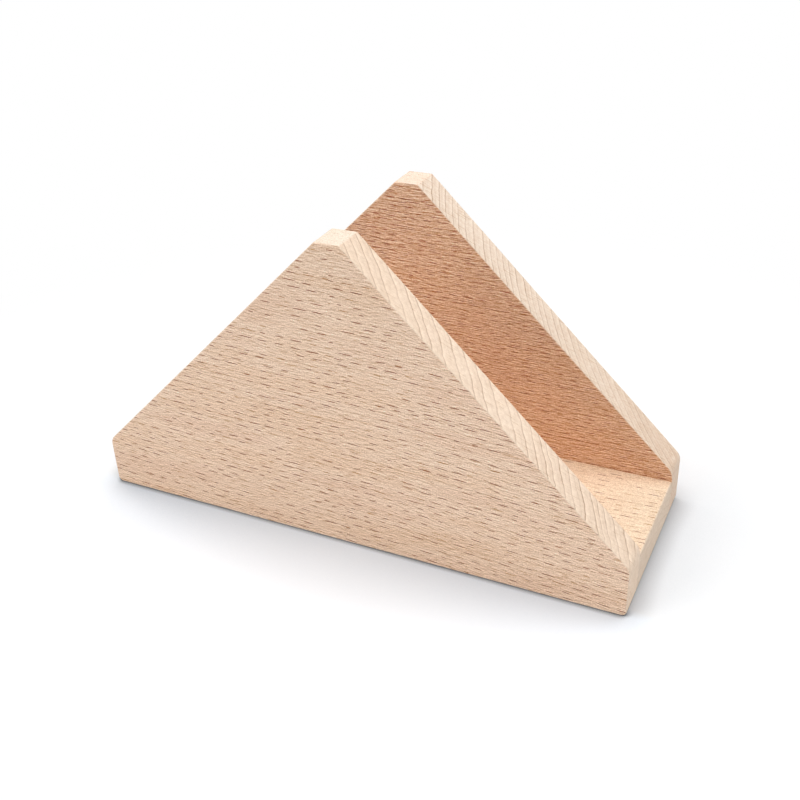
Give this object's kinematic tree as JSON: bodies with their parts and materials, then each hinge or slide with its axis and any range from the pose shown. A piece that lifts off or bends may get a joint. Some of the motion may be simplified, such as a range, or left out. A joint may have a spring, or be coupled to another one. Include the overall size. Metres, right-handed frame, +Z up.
{
  "type": "napkin holder",
  "caption": "Free-standing wooden napkin holder: pointed side panels with a flat peak, joined by a base board that leaves an open slot for folded napkins.",
  "frame": {"origin": "on the ground under the middle of the holder: the centre of the bounding box's underside", "axes": "+X along the panels, to the right when seen from the front; +Y across the slot, from the front panel to the back panel; +Z up"},
  "size_m": [0.16, 0.056, 0.09],
  "materials": {
    "panel_beech": "raw sanded beech, grain along the length, short dark flecks, matt",
    "base_beech": "raw sanded beech, grain along the length, short dark flecks, matt",
    "dowel_beech": "fluted beech dowel rod, grain along the dowel, matt"
  },
  "bodies": {
    "root": {"front_panel": "panel_beech", "back_panel": "panel_beech", "base_board": "base_beech", "dowel_front_left": "dowel_beech", "dowel_front_right": "dowel_beech", "dowel_back_left": "dowel_beech", "dowel_back_right": "dowel_beech"}
  },
  "joints": []
}
